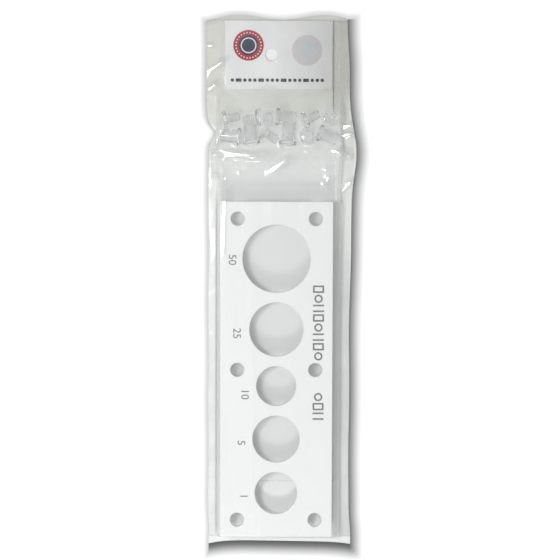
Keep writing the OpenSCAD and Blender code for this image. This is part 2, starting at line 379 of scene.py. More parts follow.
# The colour of the painted shadow round the bag.
TABLE_PAINTED_SHADOW = (0.10, 0.10, 0.10, 1)
TABLE_GLOW = 0.50
SHORT_FADE = ((0.1, 0.0, 0.0), (-0.1, 0.0, 0.36), (-1.4, 0.05, 0.12), (-2.7, 0.3, 0.02), (-4.0, 1.0, 0.0))
TOP_FADE = (
    (2.4, 0.0, 0.0), (1.6, 0.0, 0.12), (0.1, 0.0, 0.12), (-0.1, 0.0, 0.2),
    (-1.4, 0.1, 0.07), (-2.7, 0.4, 0.01), (-4.0, 1.0, 0.0),
)
SEAL_FADE = (
    (0.1, 0.0, 0.0), (-0.1, 0.0, 1.0), (-2.0, 0.0, 0.86), (-3.4, 0.0, 0.62), (-4.8, 0.03, 0.36),
    (-6.1, 0.1, 0.16), (-7.5, 0.3, 0.05), (-8.9, 1.0, 0.0),
)
LONG_FADE = (
    (0.1, 0.0, 0.0), (-0.1, 0.0, 0.88), (-1.6, 0.0, 0.62), (-3.1, 0.04, 0.35),
    (-4.6, 0.17, 0.13), (-5.9, 0.35, 0.04), (-7.3, 1.0, 0.0),
)


def carry(mesh, label, values):
    """Gives every point of a mesh a value that a material reads by its label."""
    values = np.ravel(values).astype(np.float32)
    mesh.attributes.new(label, "FLOAT", "POINT").data.foreach_set("value", values)


def table_mesh():
    """A flat top in rows across, finer in both ways where its glow or painted shadow changes round the bag.
    """
    half = TABLE_SIZE / 2
    rows = [("far", -half, 1.0, 0.0)] + [("seal", *step) for step in SEAL_FADE[::-1]]
    rows += [("side", y, 0.0, 0.0) for y in np.linspace(Y_SEAL + 0.3, Y_CREST - 4.5, TABLE_ROWS)]
    rows += [("mouth", *step) for step in TOP_FADE] + [("far", half, 1.0, 0.0)]
    spots, open_parts, shadow_paint = [], [], []
    for kind, step, level, dark in rows:
        at = {"seal": Y_SEAL, "mouth": Y_CREST}.get(kind, min(max(step, Y_SEAL), Y_CREST))
        left, right = left_edge(at), right_edge(at)
        row = [(-half, -half, 1.0, 0.0)] + [(left + fade[0], *fade) for fade in SHORT_FADE[::-1]]
        row += [(x, 1.0, 0.0, 0.0) for x in np.linspace(left + 1, right - 1, TABLE_COLS)]
        row += [(right - fade[0], *fade) for fade in LONG_FADE] + [(half, -half, 1.0, 0.0)]
        beside = kind == "side" or (kind != "far" and step > 0)
        for x, inset, part, shade in row:
            near = min(max(x, left), right)
            y = {"seal": bottom_edge(near) + step, "mouth": top_edge(near) - step}.get(kind, step)
            spots.append((x, y, -TABLE_DROP))
            open_parts.append(max(part, level))
            shadow_paint.append(dark if inset > 0 else shade if beside else min(shade, dark))
    mesh, _ = sheet_mesh("table", np.array(spots).reshape(len(rows), -1, 3))
    carry(mesh, "open", open_parts)
    carry(mesh, "painted_shadow", shadow_paint)
    return mesh


table_white, tree, body = started("table_white")
nodes, links = tree.nodes, tree.links
nodes.remove(body)
paint, glow = nodes.new("ShaderNodeBsdfDiffuse"), nodes.new("ShaderNodeEmission")
both, path = nodes.new("ShaderNodeAddShader"), nodes.new("ShaderNodeLightPath")
# The table's colour darkens by its painted shadow value close round the bag and just inside its top edge.
links.new(two_tone(tree, carried(tree, "painted_shadow"), TABLE_WHITE, TABLE_PAINTED_SHADOW), paint.inputs["Color"])
seen = reckoned(tree, path.outputs["Is Camera Ray"], "MAXIMUM", path.outputs["Is Glossy Ray"])
seen = reckoned(tree, seen, "MAXIMUM", path.outputs["Is Transmission Ray"])
seen = reckoned(tree, seen, "MULTIPLY", TABLE_GLOW)
links.new(reckoned(tree, seen, "MULTIPLY", carried(tree, "open")), glow.inputs["Strength"])
links.new(paint.outputs[0], both.inputs[0])
links.new(glow.outputs[0], both.inputs[1])
links.new(both.outputs[0], nodes["Material Output"].inputs["Surface"])
table = piece("table", table_mesh(), table_white)

ROOM_COLOUR, ROOM_LIGHT, ROOM_SEEN = (0.97, 0.985, 1.0, 1), 0.33, 0.85
room = bpy.data.worlds.new("room")
room.use_nodes = True
tree = room.node_tree
backdrop, path = tree.nodes["Background"], tree.nodes.new("ShaderNodeLightPath")
backdrop.inputs["Color"].default_value = ROOM_COLOUR
strength = stretched(tree, path.outputs["Is Camera Ray"], 0, 1, ROOM_LIGHT, ROOM_SEEN)
tree.links.new(strength, backdrop.inputs["Strength"])
scene.world = room


def lamp(name, place, size, watts):
    """A square soft lamp that faces the pack."""
    data = bpy.data.lights.new(name, "AREA")
    data.shape, data.size, data.energy = "SQUARE", size, watts
    obj = bpy.data.objects.new(name, data)
    obj.location = place
    obj.rotation_euler = (-Vector(place)).to_track_quat("-Z", "Y").to_euler()
    scene.collection.objects.link(obj)


LEFT_LAMP = (-0.225, 0.03, 0.68)
lamp("left_lamp", LEFT_LAMP, size=0.13, watts=2.25)
lamp("end_lamp", (-0.04, -0.42, 0.48), size=0.07, watts=1.1)

# Side gussets
# The sides of the same tube, each folded in half inwards so that the bag can open for thick contents. Here
# they lie flat between front and back, with the fold towards the plates and the card.
# Each gusset is tinted darker towards the seal, the right one more and beside the white plate, as painted
# shade; the right one also has painted shade along its fold past the heap.
left_gusset_film = film_look(
    "left_gusset_film", haze_colour=(0.88, 0.89, 0.89, 1), haze=0.020,
    shade_from=(0.991, 0.991, 0.993, 1), shade_to=(0.997, 0.997, 0.995, 1), along=(-0.05, 0.08),
)
right_gusset_film = film_look(
    "right_gusset_film", haze_colour=(0.88, 0.89, 0.89, 1), haze=0.020,
    shade_from=(0.973, 0.973, 0.974, 1), shade_to=(0.992, 0.992, 0.990, 1), along=(-0.01, 0.03), crease_shade_depth=0.16,
)
LEAF_LOW, LEAF_HIGH, LEAF_BULGE, GUSSET_WALL = 0.21, 0.42, 0.04, 0.07
FOLD_ROOM, FOLD_STEPS, GUSSET_ROWS = 0.11, 5, 181
PLATE_GAP, HEAP_GAP, COVER_GAP, CARD_GAP = 0.6, 0.7, 2.3, 0.3
LEAF_STEPS = np.concatenate([np.linspace(0, 0.86, 8), [0.93, 1.0]])


def gusset(name, node, outer, fold, look):
    """A strip folded along its length: a low leaf, a round fold and a high leaf that bulges a little."""
    ys = np.linspace(Y_FOOT, Y_MOUTH, GUSSET_ROWS)
    middle, reach = (LEAF_LOW + LEAF_HIGH) / 2, (LEAF_HIGH - LEAF_LOW) / 2
    strip = []
    for y in ys:
        o, f = outer(y), fold(y)
        inward = np.sign(f - o)
        leaf = o + LEAF_STEPS * (f - o - inward * FOLD_ROOM)
        bulge = LEAF_BULGE * np.sin(np.pi * LEAF_STEPS[::-1]) * (1 + 0.4 * np.sin(y / 6))
        row = [(x, y, LEAF_LOW) for x in leaf]
        for a in np.linspace(-np.pi / 2, np.pi / 2, FOLD_STEPS)[1:-1]:
            row.append((leaf[-1] + inward * reach * math.cos(a), y, middle + reach * math.sin(a)))
        row += [(x, y, LEAF_HIGH + rise) for x, rise in zip(leaf[::-1], bulge)]
        strip.append(row if inward < 0 else row[::-1])
    mesh, _ = sheet_mesh(name, np.array(strip))
    # The fold from past the heap to the mouth carries a painted shade, which the right gusset's film shows.
    at_fold = np.zeros(len(strip[0]))
    at_fold[len(LEAF_STEPS) - 1 : 1 - len(LEAF_STEPS)] = 1
    carry(mesh, "painted_crease_shade", np.outer(ease(ys, Y_PILE_END - 5, Y_PILE_END), at_fold))
    obj = thicken(piece(name, mesh, look), GUSSET_WALL, 0)
    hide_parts(node)
    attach(obj, "bag")


def left_fold(y):
    beside = plate_lo[0] - PLATE_GAP - HEAP_GAP * ease(y, plate_hi[1], Y_PILE)
    return beside + (card_lo[0] - CARD_GAP - beside) * ease(y, Y_PILE_END, Y_CARD)


def right_fold(y):
    beside = cover_hi[0] + COVER_GAP
    return beside + (card_hi[0] + CARD_GAP - beside) * ease(y, Y_PILE_END - 8, Y_PILE_END - 3)


gusset("gusset_left_film", "gusset_left", lambda y: left_edge(y) + 0.1, left_fold, left_gusset_film)
gusset("gusset_right_film", "gusset_right", lambda y: right_edge(y) - 0.1, right_fold, right_gusset_film)

# Clear covers
# Two sawn and edge-polished plates of clear acrylic with six drilled fastener holes. They lie loose behind
# the white plate and have slid up towards the mouth.
PLATE_CORNER, COVER_EDGE = 0.8, 0.05
HOLE_R, HOLE_INSET = 3.175, 7.75
CORNER_STEPS, HOLE_STEPS, BORE_STEPS = 13, 48, 96


def ring(curve, points, reverse=False):
    """A closed line through points in millimetres."""
    line = curve.splines.new("POLY")
    line.points.add(len(points) - 1)
    for spot, (x, y) in zip(line.points, points[::-1] if reverse else points):
        spot.co = (x * MM, y * MM, 0, 1)
    line.use_cyclic_u = True


def circle(x, y, r, steps):
    turns = np.linspace(0, 2 * np.pi, steps, endpoint=False)
    return [(x + r * math.cos(a), y + r * math.sin(a)) for a in turns]


def closed(mesh, sharp=40):
    """Joins borders that meet, turns every face outwards and keeps edges over the sharp angle crisp."""
    work = bmesh.new()
    work.from_mesh(mesh)
    bmesh.ops.remove_doubles(work, verts=work.verts, dist=2e-6)
    bmesh.ops.recalc_face_normals(work, faces=work.faces)
    work.to_mesh(mesh)
    work.free()
    mesh.shade_smooth()
    mesh.set_sharp_from_angle(angle=math.radians(sharp))
    return mesh


def filled_mesh(name, curve):
    """The mesh that a filled curve or a line of figures makes."""
    shape = piece(name, curve)
    bpy.context.view_layer.update()
    mesh = bpy.data.meshes.new_from_object(shape.evaluated_get(bpy.context.evaluated_depsgraph_get()))
    bpy.data.objects.remove(shape)
    return mesh


def plate_mesh(name, lo, hi, holes, soft):
    """A flat plate with round corners, drilled through, every edge rounded by the soft radius."""
    curve = bpy.data.curves.new(name, "CURVE")
    curve.dimensions, curve.fill_mode = "2D", "BOTH"
    curve.extrude = ((hi[2] - lo[2]) / 2 - soft) * MM
    curve.bevel_depth, curve.bevel_resolution = soft * MM, 2
    curve.offset = -soft * MM
    outline, r = [], PLATE_CORNER
    corners = ((hi[0] - r, hi[1] - r), (lo[0] + r, hi[1] - r), (lo[0] + r, lo[1] + r), (hi[0] - r, lo[1] + r))
    for k, (x, y) in enumerate(corners):
        for a in np.linspace(0, np.pi / 2, CORNER_STEPS) + k * np.pi / 2:
            outline.append((x + r * math.cos(a), y + r * math.sin(a)))
    ring(curve, outline)
    for x, y, radius in holes:
        ring(curve, circle(x, y, radius, BORE_STEPS if radius > HOLE_R else HOLE_STEPS), True)
    mesh = filled_mesh(name, curve)
    mesh.transform(Matrix.Translation((0, 0, (lo[2] + hi[2]) / 2 * MM)))
    return closed(mesh, 10)


def fastener_spots(lo, hi):
    middle = (lo[1] + hi[1]) / 2
    return [
        (x, y, HOLE_R)
        for x in (lo[0] + HOLE_INSET, hi[0] - HOLE_INSET)
        for y in (lo[1] + HOLE_INSET, middle, hi[1] - HOLE_INSET)
    ]


def clear_look(name, colour, clarity, bend, rough, cloud_size):
    """Clear plastic that lets lamp light straight through, with faint scuffs in its gloss."""
    look, tree, body = started(name)
    nodes, links = tree.nodes, tree.links
    grain = grained(tree, {"Cloud size": cloud_size})
    preset(body, {"Base Color": colour, "Transmission Weight": clarity, "IOR": bend})
    links.new(stretched(tree, grain["Scuff"], 0.4, 0.75, *rough), body.inputs["Roughness"])
    relief(tree, body, grain["Cloud"], 0.04)
    light, clear = nodes.new("ShaderNodeLightPath"), nodes.new("ShaderNodeBsdfTransparent")
    clear.inputs["Color"].default_value = colour
    shown = body.outputs[0]
    for ray in ("Is Diffuse Ray", "Is Shadow Ray"):
        shown = mixed(tree, light.outputs[ray], shown, clear.outputs[0])
    links.new(shown, nodes["Material Output"].inputs["Surface"])
    return look


clear_acrylic = clear_look(
    "clear_acrylic", (0.981, 0.985, 0.983, 1), clarity=0.935, bend=1.3, rough=(0.01, 0.06), cloud_size=30
)
for node, lo, hi in (("back_cover", under_lo, under_hi), ("front_cover", cover_lo, cover_hi)):
    name = "clear_" + node
    cover = piece(name, plate_mesh(name, lo, hi, fastener_spots(lo, hi), COVER_EDGE), clear_acrylic)
    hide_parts(node)
    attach(cover, node)

# White centre plate
# A sawn plate of opaque white acrylic. Five coin holes are bored through it in a row, each a little wider
# than its coin, and six fastener holes along its sides.
COINS = (30.6, 24.3, 17.9, 21.2, 19.05)
COIN_CLEAR, COIN_WEB, PLATE_EDGE = 0.1, 4.4, 0.18

bores = [d + 2 * COIN_CLEAR for d in COINS]
plate_mid = (plate_lo + plate_hi) / 2
coin_holes, y = [], plate_mid[1] + (sum(bores) + COIN_WEB * (len(bores) - 1)) / 2
for d in bores:
    coin_holes.append((plate_mid[0], y - d / 2, d / 2))
    y -= d + COIN_WEB

white_acrylic, tree, body = started("white_acrylic")
grain = grained(tree, {"Cloud size": 25})
cloudy = two_tone(tree, grain["Cloud"], (0.895, 0.90, 0.905, 1), (0.925, 0.93, 0.935, 1))
tree.links.new(cloudy, body.inputs["Base Color"])
tree.links.new(stretched(tree, grain["Scuff"], 0.35, 0.7, 0.18, 0.34), body.inputs["Roughness"])
body.inputs["IOR"].default_value = 1.49
relief(tree, body, grain["Ripple"], 0.06)

plate_holes = coin_holes + fastener_spots(plate_lo, plate_hi)
centre_plate = piece(
    "white_centre_plate",
    plate_mesh("white_centre_plate", plate_lo, plate_hi, plate_holes, PLATE_EDGE),
    white_acrylic,
)
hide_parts("centre_plate")
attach(centre_plate, "holder")

# Printing on the white plate
# Dark grey ink, screen printed: each coin's value beside its hole and a band of plain shapes down the right
# side. All of it reads from the right edge, with the mouth end first.
INK_RISE, INK_LIFT = 0.02, 0.005
FIGURE_TALL, FIGURE_SHARE = 3.5, 0.7


def ink_look(name, colour, worn):
    """Ink that what lies under it shows through in fine specks, by the worn share."""
    look, tree, body = started(name)
    grain = grained(tree)
    speck = tuple(c + (0.8 - c) * worn for c in colour[:3]) + (1,)
    specked = two_tone(tree, stretched(tree, grain["Ripple"], 0.45, 0.75, 0, 1), colour, speck)
    tree.links.new(specked, body.inputs["Base Color"])
    tree.links.new(stretched(tree, grain["Cloud"], 0.3, 0.7, 0.45, 0.65), body.inputs["Roughness"])
    return look


def ring_mesh(x, y, outer, inner, steps=40):
    """A flat printed ring, or a dot where inner is none."""
    rim = np.array(circle(x, y, outer, steps))
    if not inner:
        return rim, [tuple(range(steps))]
    hole = np.array(circle(x, y, inner, steps))
    k = np.arange(steps)
    n = (k + 1) % steps
    return np.vstack([rim, hole]), np.stack([k, n, steps + n, steps + k], 1).tolist()


def bar_mesh(x, y, wide, tall):
    a, b = wide / 2, tall / 2
    return np.array([(x - a, y - b), (x + a, y - b), (x + a, y + b), (x - a, y + b)]), [(0, 1, 2, 3)]


def printed(name, shapes, z, look):
    """Flat shapes as one thin layer of ink whose underside lies at z."""
    spots, faces = [], []
    for corners, sides in shapes:
        base = len(spots)
        spots += [(x * MM, y * MM, z * MM) for x, y in corners]
        faces += [tuple(base + k for k in side) for side in sides]
    mesh = bpy.data.meshes.new(name)
    mesh.from_pydata(spots, [], faces)
    obj = piece(name, mesh, look)
    layer = obj.modifiers.new("layer", "SOLIDIFY")
    layer.thickness, layer.offset = INK_RISE * MM, 1
    return settle(obj)


def digits(name, text, x, y, z, look):
    """Figures set a quarter turn clockwise, middle at x and y."""
    words = bpy.data.curves.new(name, "FONT")
    words.body, words.size = text, FIGURE_TALL / FIGURE_SHARE * MM
    words.align_x, words.align_y = "CENTER", "CENTER"
    words.extrude, words.resolution_u = INK_RISE / 2 * MM, 6
    mesh = filled_mesh(name, words)
    quarter = Matrix.Rotation(-math.pi / 2, 4, "Z")
    mesh.transform(Matrix.Translation((x * MM, y * MM, (z + INK_RISE / 2) * MM)) @ quarter)
    return piece(name, closed(mesh), look)


PLATE_PRINT = plate_hi[2] + INK_LIFT
VALUES = (
    ("50", -22.0, 10.0), ("25", -19.9, -23.4), ("10", -16.2, -51.0), ("5", -17.8, -73.2), ("1", -16.6, -97.6),
)
BAND_X, BAND_TALL, BAND_LINE, BAND_STEP = 17.1, 5.0, 0.75, 4.35
RING_R, BAR_OFF = 1.9, 1.3
SQUARE, RING, BARS = range(3)
BAND = ((-3.2, (SQUARE, RING, BARS, SQUARE, RING, BARS, SQUARE, RING)), (-52.2, (RING, SQUARE, BARS)))

plate_ink = ink_look("plate_ink", (0.075, 0.08, 0.065, 1), 0.25)
inked = [digits("value_" + text, text, x, y, PLATE_PRINT, plate_ink) for text, x, y in VALUES]
band, side_off = [], (BAND_TALL - BAND_LINE) / 2
for top, shapes in BAND:
    for k, shape in enumerate(shapes):
        y = top - BAND_STEP * k
        if shape == RING:
            band.append(ring_mesh(BAND_X, y, RING_R, RING_R - BAND_LINE))
        else:
            band += [bar_mesh(BAND_X, y + off, BAND_TALL, BAND_LINE) for off in (-BAR_OFF, BAR_OFF)]
        if shape == SQUARE:
            tall = 2 * BAR_OFF - BAND_LINE
            band += [bar_mesh(BAND_X + off, y, BAND_LINE, tall) for off in (-side_off, side_off)]
inked.append(printed("plate_band", band, PLATE_PRINT, plate_ink))
for mark in inked:
    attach(mark, "holder")

# Screw posts
# Six loose moulded posts of clear plastic, each a flat head on a hollow barrel for the plates' holes. They
# lie in a heap past the covers' ends, one of them standing on its open end.
HEAD_R, HEAD_T, HEAD_BEVEL = 4.0, 1.3, 0.3
POST_R, POST_L, BORE_R, POST_FLOOR = 3.025, 7.6, 2.25, 0.4
RIM_SOFT, ROOT_SOFT, END_SOFT, MOUTH_DEEP = 0.12, 0.15, 0.2, 0.3
HEAD_PROFILE = (
    (HEAD_R - HEAD_BEVEL, 0), (HEAD_R - RIM_SOFT, RIM_SOFT), (HEAD_R, HEAD_BEVEL),
    (HEAD_R, HEAD_T - ROOT_SOFT), (HEAD_R - ROOT_SOFT, HEAD_T),
)
PILE_X, REST_Z = -0.8, 0.25
LIES, STANDS, HANGS = 0, 1, 2
HANG_UP = 1.5
POST_PLACES = (
    (-22, 4.5, 176, LIES), (-13, 5.3, 95, LIES), (4, 5.1, 85, LIES),
    (12.6, 4.4, 0, STANDS), (21.8, 4.8, -20, LIES), (2.8, 13, -5, LIES),
)

clear_fastener = clear_look(
    "clear_fastener", (0.93, 0.935, 0.94, 1), clarity=0.90, bend=1.33, rough=(0.03, 0.12), cloud_size=120
)


def skinned(name, rings):
    """A closed skin over rings of points in millimetres. Its first and last ring are poles of one point."""
    spots, faces, steps = [], [], len(rings[1])
    firsts = np.cumsum([0] + [len(points) for points in rings]).tolist()
    for points in rings:
        spots += [tuple(c * MM for c in point) for point in points]
    for a, b, first, second in zip(rings, rings[1:], firsts, firsts[1:]):
        for k in range(steps):
            n = (k + 1) % steps
            corners = (first + k % len(a), first + n % len(a), second + n % len(b), second + k % len(b))
            faces.append(tuple(dict.fromkeys(corners)))
    mesh = bpy.data.meshes.new(name)
    mesh.from_pydata(spots, [], faces)
    return closed(mesh)


def turned_rings(profile, steps):
    """Rings about the z axis from (radius, height) points."""
    return [[(x, y, z) for x, y in circle(0, 0, r, steps)] for r, z in profile]


def layout_tree():
    """Copies of one pattern on a mesh's points, each turned by its point's own turn, made one mesh."""
    tree = bpy.data.node_groups.new("fastener_layout", "GeometryNodeTree")
    group_socket(tree, "INPUT", "Places", "Geometry")
    pattern = group_socket(tree, "INPUT", "Pattern", "Object")
    finish = group_socket(tree, "INPUT", "Finish", "Material")
    group_socket(tree, "OUTPUT", "Laid out", "Geometry")
    nodes, links = tree.nodes, tree.links
    given, sent = nodes.new("NodeGroupInput"), nodes.new("NodeGroupOutput")
    shape = nodes.new("GeometryNodeObjectInfo")
    shape.inputs["As Instance"].default_value = True
    turn = nodes.new("GeometryNodeInputNamedAttribute")
    turn.data_type = "FLOAT_VECTOR"
    turn.inputs["Name"].default_value = "turn"
    to_turn = nodes.new("FunctionNodeEulerToRotation")
    copies = nodes.new("GeometryNodeInstanceOnPoints")
    real = nodes.new("GeometryNodeRealizeInstances")
    painted = nodes.new("GeometryNodeSetMaterial")
    links.new(given.outputs["Pattern"], shape.inputs["Object"])
    links.new(given.outputs["Places"], copies.inputs["Points"])
    links.new(shape.outputs["Geometry"], copies.inputs["Instance"])
    links.new(turn.outputs["Attribute"], to_turn.inputs[0])
    links.new(to_turn.outputs[0], copies.inputs["Rotation"])
    links.new(copies.outputs[0], real.inputs[0])
    links.new(real.outputs[0], painted.inputs["Geometry"])
    links.new(given.outputs["Finish"], painted.inputs["Material"])
    links.new(painted.outputs[0], sent.inputs[0])
    return tree, pattern.identifier, finish.identifier


LAYOUT, LAYOUT_PATTERN, LAYOUT_FINISH = layout_tree()


def lay_out(name, pattern_mesh, places, look):
    """One mesh with a copy of the pattern at every (spot in millimetres, turn)."""
    pattern = piece(name + "_pattern", pattern_mesh)
    dots = bpy.data.meshes.new(name)
    dots.from_pydata([tuple(c * MM for c in spot) for spot, _ in places], [], [])
    turns = dots.attributes.new("turn", "FLOAT_VECTOR", "POINT")
    turns.data.foreach_set("vector", [a for _, turn in places for a in turn])
    obj = piece(name, dots)
    nodes_on = obj.modifiers.new("layout", "NODES")
    nodes_on.node_group = LAYOUT
    nodes_on[LAYOUT_PATTERN] = pattern
    nodes_on[LAYOUT_FINISH] = look
    bpy.context.view_layer.update()
    settle(obj)
    bpy.data.objects.remove(pattern)
    return obj


def heaped(place, long, r, roll=0):
    """Where a fastener's head lies in the heap and its turn, from its place, length and tip radius."""
    x, y, turn, how = place
    dip = math.atan2(HEAD_R - r, long - HEAD_T) if how == LIES else math.pi / 2
    up = REST_Z + long / 2 * math.sin(dip) + r * math.cos(dip) + (HANG_UP if how == HANGS else 0)
    laid = Euler((0, math.pi / 2 + dip, math.radians(turn))).to_matrix()
    turned = laid @ Matrix.Rotation(math.radians(roll), 3, "Z")
    head = Vector((PILE_X + x, Y_PILE + y, up)) - turned @ Vector((0, 0, long / 2))
    return tuple(head), tuple(turned.to_euler())


post_end, bore_end = HEAD_T + POST_L, HEAD_T + POST_FLOOR
post_profile = HEAD_PROFILE + (
    (POST_R + ROOT_SOFT, HEAD_T), (POST_R, HEAD_T + ROOT_SOFT), (POST_R, post_end - END_SOFT),
    (POST_R - END_SOFT, post_end), (BORE_R + END_SOFT, post_end), (BORE_R, post_end - MOUTH_DEEP),
    (BORE_R, bore_end),
)
post_rings = [[(0, 0, 0)], *turned_rings(post_profile, 48), [(0, 0, bore_end)]]
post_places = [heaped(place, post_end, POST_R) for place in POST_PLACES]
posts = lay_out("screw_posts", skinned("post_pattern", post_rings), post_places, clear_fastener)
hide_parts(*["post_%d" % (i + 1) for i in range(len(POST_PLACES))])
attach(posts, "fasteners")

# Screws
# Six loose moulded screws of the same clear plastic, with a slotted flat head and a coarse thread. They lie
# among the posts, one standing on its tip and one hung by its head between its neighbours.
THREAD_R, THREAD_L, PITCH, THREAD_DEPTH, RIDGE_STEEP = 2.1, 6.6, 1.0, 0.32, 2.6
RUN_IN, RUN_OUT, TIP_SHARE = 0.5, 0.8, 0.75
SLOT_W, SLOT_DEPTH = 1.2, 0.5
SCREW_PLACES = (
    (-22, 12.7, 12, LIES), (-12.5, 12.4, 190, LIES), (-4.2, 4.6, -35, LIES),
    (14.4, 13, 25, LIES), (22.6, 12.8, 50, STANDS), (-5.2, 12.4, 20, HANGS),
)


def screw_pattern():
    """A flat head with a driver slot and a shank whose ridge climbs in one turn a pitch."""
    steps, rows = 32, int(THREAD_L / PITCH * 9)
    end = HEAD_T + THREAD_L
    rings = [[(0, 0, 0)], *turned_rings(HEAD_PROFILE + ((THREAD_R, HEAD_T),), steps)]
    for k in range(1, rows + 1):
        z = HEAD_T + 0.1 + (THREAD_L - 0.3) * k / rows
        taper = min(1, (end - z) / RUN_OUT, (z - HEAD_T) / RUN_IN)
        row = []
        for a in np.linspace(0, 2 * np.pi, steps, endpoint=False):
            phase = (z / PITCH - a / (2 * np.pi)) % 1
            ridge = taper * max(0, 1 - abs(phase - 0.5) * RIDGE_STEEP)
            r = THREAD_R - THREAD_DEPTH * (1 - ridge)
            row.append((r * math.cos(a), r * math.sin(a), z))
        rings.append(row)
    rings += [[(TIP_SHARE * x, TIP_SHARE * y, end) for x, y, z in rings[-1]], [(0, 0, end)]]
    screw = piece("screw_blank", skinned("screw_pattern", rings))
    slot = piece("driver_slot", bpy.data.meshes.new("driver_slot"))
    block, low = bmesh.new(), -1.0
    middle, size = Vector((0, 0, (low + SLOT_DEPTH) / 2)), Vector((4 * HEAD_R, SLOT_W, SLOT_DEPTH - low))
    bmesh.ops.create_cube(block, size=1, matrix=Matrix.LocRotScale(middle * MM, None, size * MM))
    block.to_mesh(slot.data)
    block.free()
    cut = screw.modifiers.new("slot", "BOOLEAN")
    cut.operation, cut.object, cut.solver = "DIFFERENCE", slot, "EXACT"
    made = settle(screw).data
    bpy.data.objects.remove(slot)
    bpy.data.objects.remove(screw)
    return closed(made)


screw_end = HEAD_T + THREAD_L
screw_places = [heaped(place, screw_end, THREAD_R, 40 * i) for i, place in enumerate(SCREW_PLACES)]
screws = lay_out("screws", screw_pattern(), screw_places, clear_fastener)
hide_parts(*["screw_%d" % (i + 1) for i in range(len(SCREW_PLACES))])
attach(screws, "fasteners")

# Header card
# Thin white paper, printed on both sides and slipped loose into the mouth of the bag, punched together with
# the film for the hang hole. It lies flat.
paper, tree, body = started("header_paper")
nodes, links = tree.nodes, tree.links
where = nodes.new("ShaderNodeTexCoord")
fibre, cloudy = nodes.new("ShaderNodeTexNoise"), nodes.new("ShaderNodeTexNoise")
preset(fibre, {"Scale": 2600, "Detail": 3})
preset(cloudy, {"Scale": 70})
for noise in (fibre, cloudy):
    links.new(where.outputs["Object"], noise.inputs["Vector"])
cloud = stretched(tree, cloudy.outputs["Fac"], 0.3, 0.7, 0, 1)
links.new(two_tone(tree, cloud, (0.79, 0.79, 0.80, 1), (0.85, 0.85, 0.85, 1)), body.inputs["Base Color"])
links.new(stretched(tree, fibre.outputs["Fac"], 0.3, 0.7, 0.6, 0.8), body.inputs["Roughness"])
relief(tree, body, fibre.outputs["Fac"], 0.15)

x, y = np.meshgrid(np.linspace(card_lo[0], card_hi[0], 81), np.linspace(card_lo[1], card_hi[1], 53))
flat = np.stack([x, y, np.full(x.shape, card_lo[2])], -1)
mesh, _ = sheet_mesh("header_card_paper", flat, HANG)
header_card = thicken(piece("header_card_paper", mesh, paper), card_hi[2] - card_lo[2])
header_card.data.set_sharp_from_angle(angle=math.radians(40))
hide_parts("header_card")
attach(header_card, "header_card")

# Printing on the header card
# Offset ink: a plain coin as a badge, a row of dots and dashes under it, and at the right, in pale ink, the
# coin on the other side of the paper that shows through.
CARD_PRINT, LAYER_STEP = card_hi[2] + 0.004, 0.012
BADGE, SHOWN_THROUGH = (-15.0, 106.9), (11.6, 104.7)
COIN_R, BORDER, BEAD_R, BEADS = 6.9, 0.35, 0.32, 26
ROW_X, ROW_Y, ROW_GAP, ROW_MARKS = -23.0, 91.2, 0.85, 17
DOT_ROOM, DOT_R, DASH_W, DASH_H = 1.4, 0.78, 2.6, 1.5
badge_red = ink_look("badge_red", (0.42, 0.012, 0.015, 1), 0.05)
badge_navy = ink_look("badge_navy", (0.012, 0.018, 0.07, 1), 0.05)
badge_white = ink_look("badge_white", (0.78, 0.78, 0.79, 1), 0.05)
row_black = ink_look("row_black", (0.02, 0.025, 0.03, 1), 0.15)
through_pink = ink_look("through_pink", (0.66, 0.62, 0.64, 1), 0.3)
through_blue = ink_look("through_blue", (0.60, 0.645, 0.68, 1), 0.3)


def badge(name, middle, rim, heart, pale=None):
    """A printed coin, a broad rim round a heart. A pale ink adds a border, beads and a fine ring."""

    def disc(outer, inner=None):
        return [ring_mesh(*middle, outer, inner, 96)]

    layers = [("rim", disc(COIN_R), rim), ("heart", disc(0.66 * COIN_R), heart)]
    if pale:
        beads = [ring_mesh(x, y, BEAD_R, None, 16) for x, y in circle(*middle, 0.83 * COIN_R, BEADS)]
        layers.insert(0, ("border", disc(COIN_R + BORDER), pale))
        layers += [("beads", beads, pale), ("ring", disc(0.52 * COIN_R, 0.44 * COIN_R), pale)]
    return [
        printed("%s_%s" % (name, part), shapes, CARD_PRINT + LAYER_STEP * k, look)
        for k, (part, shapes, look) in enumerate(layers)
    ]


inked = badge("badge", BADGE, badge_red, badge_navy, badge_white)
inked += badge("badge_through", SHOWN_THROUGH, through_pink, through_blue)
row, x = [], ROW_X
for k in range(ROW_MARKS):
    if k % 4 == 1:
        row.append(bar_mesh(x + DASH_W / 2, ROW_Y, DASH_W, DASH_H))
        x += DASH_W + ROW_GAP
    else:
        row.append(ring_mesh(x + DOT_ROOM / 2, ROW_Y, DOT_R, None, 24))
        x += DOT_ROOM + ROW_GAP
inked.append(printed("card_row", row, CARD_PRINT, row_black))
for mark in inked:
    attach(mark, "header_card")

# Front of the bag
# The other side of the film tube. It lies tight over the white plate, sags onto the clear covers, climbs over
# the fasteners and settles on the card, with pulled folds where the contents stretch it.
# The front film is tinted darker towards the mouth on the right, painted shade for the light falling off
# there, and darker in the crease at its left foot beside the plate, painted shade.
front_film = film_look(
    "front_film", haze_colour=(0.95, 0.955, 0.95, 1), haze=0.026,
    shade_from=(0.994, 0.995, 0.993, 1), shade_to=(0.932, 0.933, 0.928, 1), along=(0.075, 0.09),
    across=(-0.005, 0.022), touch=0.06, gleam=0.18, crease_shade_depth=0.18,
)
FLANGE, HEM_LOW, HEM_HIGH, LEFT_RISE, RIGHT_RISE = 0.56, 0.46, 0.30, 0.30, 0.25
CLEAR, CARD_CLEAR, PILE_CLEAR, SHOULDER = 0.10, 0.12, 0.15, 0.3
TIGHT_SAG, LOOSE_SAG, SETTLE_STEPS, CLING = 0.000255, 0.01472625, 2500, 0.12
